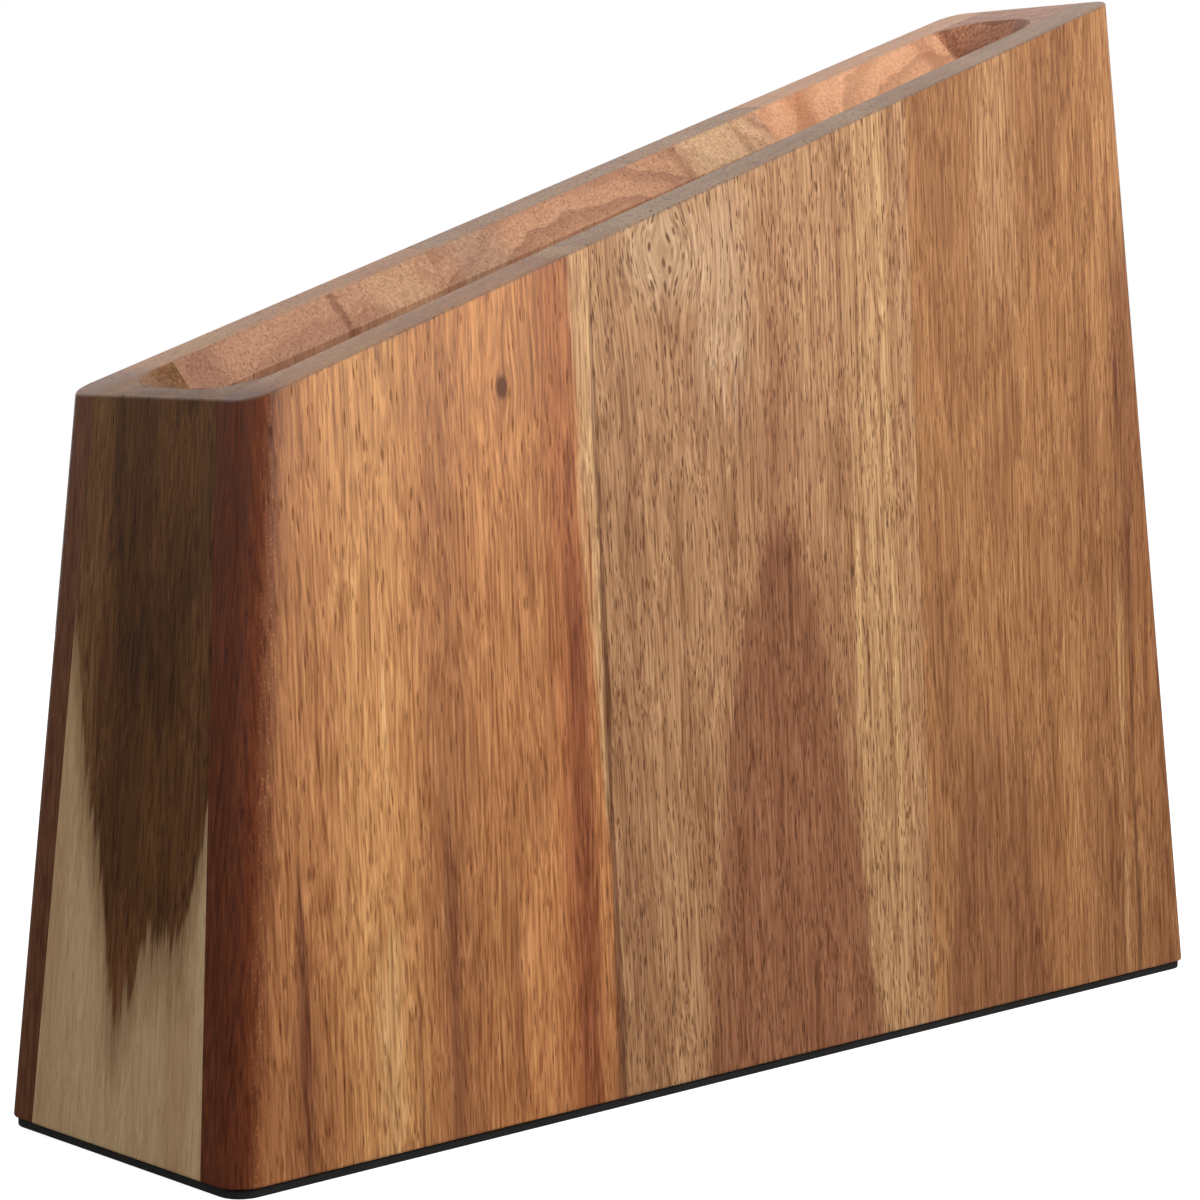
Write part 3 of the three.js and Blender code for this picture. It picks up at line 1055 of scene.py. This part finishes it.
frontMiddle = {
    "pale": (203, 152, 107), "deep": (167, 116, 79), "hue": (186, 134, 92), "hueMix": 0.3,
    "pith": (0.006, 0.1), "taper": 0.035, "topSheen": ((124, 108, 94), 0.55), "pore": (95, 54, 32),
    "poreShare": 1.0, "poreMix": 0.78, "poreSpacing": 0.00084, "poreWidth": 0.32, "poreLength": 7.0,
    "hairMix": 0.55, "seed": 2.0, "lean": 0.02, "wander": 0.006, "coarse": 0.35,
    "streaks": [
        (41, 14, -10, 300, (218, 170, 118), 0.5), (-46, 9, 50, 165, (158, 108, 74), 0.4, 0.0, 0.9, 30),
        (30, 1.4, -10, 300, (154, 100, 60), 0.4), (36, 1.0, 60, 300, (157, 100, 62), 0.4),
        (44, 1.2, -10, 200, (154, 98, 58), 0.4), (50, 1.6, -10, 300, (163, 106, 65), 0.35),
        (47, 1.0, 60, 300, (237, 192, 130), 0.4), (33, 1.2, -10, 120, (235, 186, 125), 0.4),
        (-55.6, 1.5, -10, 300, (109, 60, 37), 0.7, 0.0, 0.7, 10), (6, 7, 140, 200, (163, 104, 67), 0.3),
        (5, 3.2, 124, 132, (95, 52, 32), 0.55, 0.0, 0.9, 8),
        (-12, 13, 180, 208, (230, 192, 154), 0.4, 0.0, 0.95, 20),
    ],
    "flames": [
        (8, 196, 7.5, -0.02, 60, (172, 116, 80), 0.35), (6.5, 143, 7.4, -0.018, 16, (136, 80, 52), 0.6),
        (6, 124, 7.2, -0.018, 60, (168, 110, 76), 0.55),
    ],
    "knots": [
        {
            "x": -28.7, "z": 202, "reach": 9.5, "squash": 0.95, "eyeIn": 0.05, "eyeOut": 0.32,
            "eye": (158, 112, 76), "eyeMix": 0.4, "haloIn": 0.3, "haloOut": 2.1, "halo": (234, 196, 154),
            "haloMix": 0.5,
        },
    ],
}

frontHigh = {
    "pale": (192, 136, 88), "deep": (160, 106, 66), "hue": (178, 114, 70), "pith": (0.088, 0.12),
    "taper": 0.03, "poreSpacing": 0.0009, "poreShare": 0.75, "poreMix": 0.5, "seed": 3.0,
    "pore": (96, 54, 32), "topSheen": ((124, 108, 96), 0.55),
    "streaks": [
        (68, 11, -10, 112, (146, 94, 60), 0.4, 0.0, 0.9, 40),
        (92, 14, 208, 300, (216, 164, 116), 0.5, 0.0, 0.9, 30), (110, 20, -10, 38, (176, 112, 68), 0.35),
        (132, 12, -10, 150, (150, 96, 60), 0.45, 0.0, 0.9, 50),
        (141, 1.6, -10, 106, (214, 164, 112), 0.75, 0.0, 0.8, 20),
        (145.6, 1.1, -10, 120, (92, 50, 32), 0.55, 0.0, 0.8, 30),
        (145, 9, 120, 200, (132, 80, 52), 0.6, 0.0, 0.9, 30),
        (142, 1.8, 164, 172, (96, 48, 34), 0.6, 0.0, 0.9, 5), (156, 9, -10, 300, (150, 92, 56), 0.5),
    ],
    "flames": [(84, 98, 6.5, 0.0, 36, (138, 84, 56), 0.5)],
}

# the back is a guess: the same timber, from other boards
backLow = dict(frontLow, **{
    "topSheen": ((160, 126, 102), 0.4),
    "glintSpecks": None,
    "seed": 11.0,
    "knots": [],
    "pith": (-0.1, -0.16),
    "spacing": 0.008,
    "streaks": [
        # a darker band at the corner, partly the board's own colour and partly painted shade of the rounded
        # corner, leaning with the end face
        (-168, 18, -10, 300, (107, 60, 37), 0.88, 0.083, 0.6, 10),
        (-120, 14, -10, 300, (216, 160, 99), 0.5), (-92, 5, -10, 120, (132, 78, 48), 0.55, 0.0, 0.9, 50),
        (-74, 6, -10, 300, (192, 120, 70), 0.5),
    ],
})

backMiddle = dict(frontMiddle, **{
    "topSheen": ((176, 142, 120), 0.4),
    "pale": (187, 138, 92),
    "deep": (150, 104, 67),
    "seed": 12.0,
    "knots": [],
    "pith": (-0.01, -0.09),
    "streaks": [
        (34, 10, -10, 300, (202, 154, 102), 0.5), (-40, 6, -10, 300, (154, 98, 60), 0.5),
        (12, 2, 40, 300, (124, 74, 44), 0.4),
    ],
    "flames": [
        (-12, 168, 7.5, -0.02, 24, (144, 88, 55), 0.7), (-12, 96, 6.0, 0.0, 30, (115, 70, 44), 0.5),
    ],
})

backHigh = dict(frontHigh, **{
    "topSheen": ((236, 180, 140), 0.5),
    "pale": (210, 148, 100),
    "deep": (181, 120, 77),
    "seed": 13.0,
    "pith": (0.1, -0.1),
    "flames": [(102, 150, 6.5, 0.02, 30, (161, 98, 60), 0.55)],
    "streaks": [
        (72, 5, -10, 300, (218, 162, 107), 0.5), (140, 6, -10, 180, (138, 80, 48), 0.5, 0.0, 0.9, 60),
    ],
})

linerLow = {
    "fine": 0.25, "coarse": 0.16, "broad": 0.1, "hairMix": 0.3, "pale": (212, 160, 128),
    "deep": (190, 138, 108), "hue": (204, 150, 114), "hueMix": 0.3, "line": (150, 96, 68), "lineMix": 0.3,
    "pith": (-0.1, -0.04), "spacing": 0.01, "taper": 0.01, "seed": 4.0, "poreMix": 0.5, "poreShare": 0.8,
    "pore": (144, 90, 64), "bandMix": 0.4,
    "streaks": [
        (-90, 1.6, -10, 300, (132, 80, 54), 0.6), (-72, 12, -10, 300, (226, 180, 136), 0.5),
        # darker at the low liner's end, next to the mouth's low wall
        (-130, 9, -10, 300, (156, 108, 86), 0.6),
    ],
}

linerMiddle = {
    "fine": 0.25, "coarse": 0.16, "broad": 0.1, "hairMix": 0.3, "pale": (220, 168, 132),
    "deep": (180, 126, 96), "hue": (204, 142, 108), "hueMix": 0.3, "line": (136, 82, 56), "lineMix": 0.45,
    "pith": (-0.02, -0.045), "spacing": 0.009, "taper": 0.01, "seed": 5.0, "poreShare": 0.9,
    "pore": (120, 72, 50), "bandMix": 0.55,
    "streaks": [
        (-48, 12, -10, 300, (188, 152, 124), 0.6), (36, 20, -10, 300, (228, 188, 146), 0.75),
        (22, 2.5, -10, 300, (158, 108, 76), 0.5), (44, 2, -10, 300, (176, 128, 90), 0.5),
    ],
}

linerHigh = {
    "fine": 0.2, "coarse": 0.14, "broad": 0.08, "hairMix": 0.25, "pale": (240, 182, 140),
    "deep": (220, 158, 118), "hue": (228, 156, 114), "line": (154, 90, 55), "lineMix": 0.35,
    "pith": (0.11, -0.02), "spacing": 0.01, "taper": 0.01, "seed": 6.0, "poreShare": 0.4, "poreMix": 0.4,
    "pore": (154, 92, 56),
    "streaks": [(67, 5, -10, 300, (192, 120, 76), 0.45), (119, 5, -10, 300, (172, 108, 74), 0.5)],
}

lowEndWood = {
    "pale": (128, 84, 46), "deep": (96, 58, 30), "hue": (112, 72, 40), "line": (64, 36, 19),
    "lineMix": 0.4, "pore": (54, 30, 16), "pith": (-0.008, -0.1), "spacing": 0.006, "seed": 7.0,
    "poreMix": 0.45, "poreShare": 0.6, "turned": True, "bandMix": 0.7, "shine": 0.14,
    "streaks": [
        (21, 10, 70, 300, (156, 110, 68), 0.65), (-22, 7, 60, 300, (136, 92, 56), 0.45),
        (3, 9, 60, 300, (88, 52, 28), 0.5), (2, 11, -10, 42, (158, 104, 64), 0.65, 0.0, 0.8, 18),
    ],
    "sap": {
        "lowY": -30, "highY": 30, "top": 164, "spike": 26, "soft": 4,
        "spikeGrain": (620.0, 620.0, 9.0), "colour": (250, 212, 162), "streakStep": (0.35, 0.65),
        "streak": (232, 188, 140), "toast": (150, 106, 66), "toastMix": 0.6, "toastReach": 26,
        "border": [
            (0, 0.55), (0.053, 0.463), (0.122, 0.352), (0.205, 0.31), (0.317, 0.315), (0.4, 0.29),
            (0.455, 0.235), (0.553, 0.185), (0.608, 0.27), (0.65, 0.352), (0.72, 0.433), (0.817, 0.524),
            (0.92, 0.717), (1, 0.86),
        ],
    },
}

highEndWood = {
    "pale": (192, 130, 96), "deep": (158, 102, 72), "hue": (176, 110, 76), "line": (112, 62, 40),
    "lineMix": 0.5, "pith": (0.01, 0.2), "spacing": 0.006, "seed": 8.0, "poreShare": 0.7, "turned": True,
}

floorWood = {"pale": (196, 144, 88), "deep": (165, 112, 67), "seed": 9.0, "pith": (0.0, 0.2)}


def dress(piece, material):
    piece.data.materials.clear()
    piece.data.materials.append(material)


panelWoods = {
    "front": {"low": frontLow, "middle": frontMiddle, "high": frontHigh},
    "back": {"low": backLow, "middle": backMiddle, "high": backHigh},
}
linerWoods = {"low": linerLow, "middle": linerMiddle, "high": linerHigh}
for (side, span), piece in panels.items():
    material = woodMaterial(side + span.capitalize() + "Panel", panelWoods[side][span])
    dress(piece, material)
for (side, span), piece in liners.items():
    dress(piece, woodMaterial(side + span.capitalize() + "Liner", linerWoods[span]))
dress(lowEnd, woodMaterial("lowEndHeartwood", lowEndWood))
dress(highEnd, woodMaterial("highEndHeartwood", highEndWood))
print("wood materials made")


# moulded rubber and sintered ferrite: a slow cloud of two shades under fine specks
plainFinish = {"cloudStep": (0.35, 0.65), "speckScale": 12, "speckRough": 0.2, "bump": 0.5}
rubber = {"colours": ((20, 19, 18), (32, 30, 29)), "roughness": 0.75, "scale": 260.0, "depth": 0.0002}
ferriteFinish = {"colours": ((70, 70, 74), (86, 86, 90)), "roughness": 0.55, "scale": 120.0, "depth": 0.0001}


def plainMaterial(name, finish):
    material, tree, shader = newMaterial(name)
    place = tree.nodes.new("ShaderNodeTexCoord").outputs["Object"]
    cloud = noise(tree, place, finish["scale"], 4.0, 0.6)
    speck = noise(tree, place, finish["scale"] * plainFinish["speckScale"], 3.0, 0.7)
    first, second = (tint(*colour) for colour in finish["colours"])
    mixed = mixColour(tree, step(tree, cloud, *plainFinish["cloudStep"]), first, second)
    feed(tree, shader.inputs["Base Color"], mixed)
    rough = calc(tree, 'MULTIPLY_ADD', speck, plainFinish["speckRough"], finish["roughness"])
    feed(tree, shader.inputs["Roughness"], rough)
    addBump(tree, shader, plainFinish["bump"], finish["depth"], speck)
    return material


dress(matPiece, plainMaterial("matRubber", rubber))
ferrite = plainMaterial("magnetFerrite", ferriteFinish)
carried = {name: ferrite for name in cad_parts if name.endswith("_magnet")}
carried["floor_board"] = woodMaterial("floorBoardWood", floorWood)
for name, material in carried.items():
    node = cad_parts[name]
    node.data.materials.clear()
    node.data.materials.append(material)
print("mat, magnets and floor board dressed")


# studio: a pale floor in a white room, with soft lights in front, at the left, overhead and behind

studio = {
    "floorSize": 8,
    "floorDrop": 0.05 * mm,  # keeps the floor's face off the mat's underside
    "floorRough": 0.9,
    "floorSeen": (0.75, 0.75, 0.75, 1.0),
    "floorBounce": (0.26, 0.26, 0.26, 1.0),
    "floorGlow": 0.86,
    "lights": [  # name, place, size and power
        ("frontLight", (0.16, -0.58, 0.52), 0.45, 3.5),
        ("leftFill", (-1.1, -0.25, 0.55), 0.8, 1.0),
        ("topLight", (-0.05, -0.1, 1.1), 0.9, 0.25),
        ("backFill", (0.3, 1.0, 0.1), 0.6, 2.0),
    ],
    "aim": (0, 0, 0.14),
    "white": (1.0, 1.0, 1.0, 1.0),
    "roomGlow": (0.14, 0.34),
    "roomShine": (0.15, 1.15),
    "roomRise": (0.0, 0.45),  # how high the walls turn bright, as the height of a direction
}


def addLight(name, place, size, power):
    data = bpy.data.lights.new(name, 'AREA')
    data.shape = 'SQUARE'
    data.size = size
    data.energy = power
    light = bpy.data.objects.new(name, data)
    light.location = place
    towards = Vector(studio["aim"]) - Vector(place)
    light.rotation_euler = towards.to_track_quat('-Z', 'Y').to_euler()
    bpy.context.scene.collection.objects.link(light)


def lightRoom():
    world = bpy.data.worlds.new("studioRoom")
    bpy.context.scene.world = world
    world.use_nodes = True
    tree = world.node_tree
    shader = tree.nodes["Background"]
    shader.inputs["Color"].default_value = studio["white"]
    rays = tree.nodes.new("ShaderNodeLightPath").outputs
    height = apart(tree, tree.nodes.new("ShaderNodeTexCoord").outputs["Generated"])[2]
    glow = step(tree, height, *studio["roomRise"], *studio["roomGlow"])
    shine = step(tree, height, *studio["roomRise"], *studio["roomShine"])
    strength = step(tree, rays["Is Glossy Ray"], 0.0, 1.0, glow, shine, 'LINEAR')
    feed(tree, shader.inputs["Strength"], calc(tree, 'MAXIMUM', strength, rays["Is Camera Ray"]))


def addFloor():
    bpy.ops.object.select_all(action='DESELECT')
    bpy.ops.mesh.primitive_plane_add(size=studio["floorSize"], location=(0, 0, -studio["floorDrop"]))
    ground = bpy.context.object
    ground.name = "studioFloor"
    material, tree, shader = newMaterial("studioFloorPaint")
    shader.inputs["Roughness"].default_value = studio["floorRough"]
    shader.inputs["Specular IOR Level"].default_value = 0.0
    rays = tree.nodes.new("ShaderNodeLightPath").outputs
    seen = mixColour(tree, rays["Is Camera Ray"], studio["floorBounce"], studio["floorSeen"])
    feed(tree, shader.inputs["Base Color"], seen)
    shader.inputs["Emission Color"].default_value = studio["white"]
    glow = calc(tree, 'MULTIPLY', rays["Is Camera Ray"], studio["floorGlow"])
    feed(tree, shader.inputs["Emission Strength"], glow)
    # from below the floor can be seen through
    clear = tree.nodes.new("ShaderNodeBsdfTransparent")
    blend = tree.nodes.new("ShaderNodeMixShader")
    backfacing = tree.nodes.new("ShaderNodeNewGeometry").outputs["Backfacing"]
    feedAll(tree, blend.inputs, (backfacing, shader.outputs[0], clear.outputs[0]))
    feed(tree, tree.nodes["Material Output"].inputs["Surface"], blend.outputs[0])
    ground.data.materials.append(material)


for light in studio["lights"]:
    addLight(*light)
lightRoom()
addFloor()
bpy.context.scene.view_settings.view_transform = 'Standard'
print("studio lit")
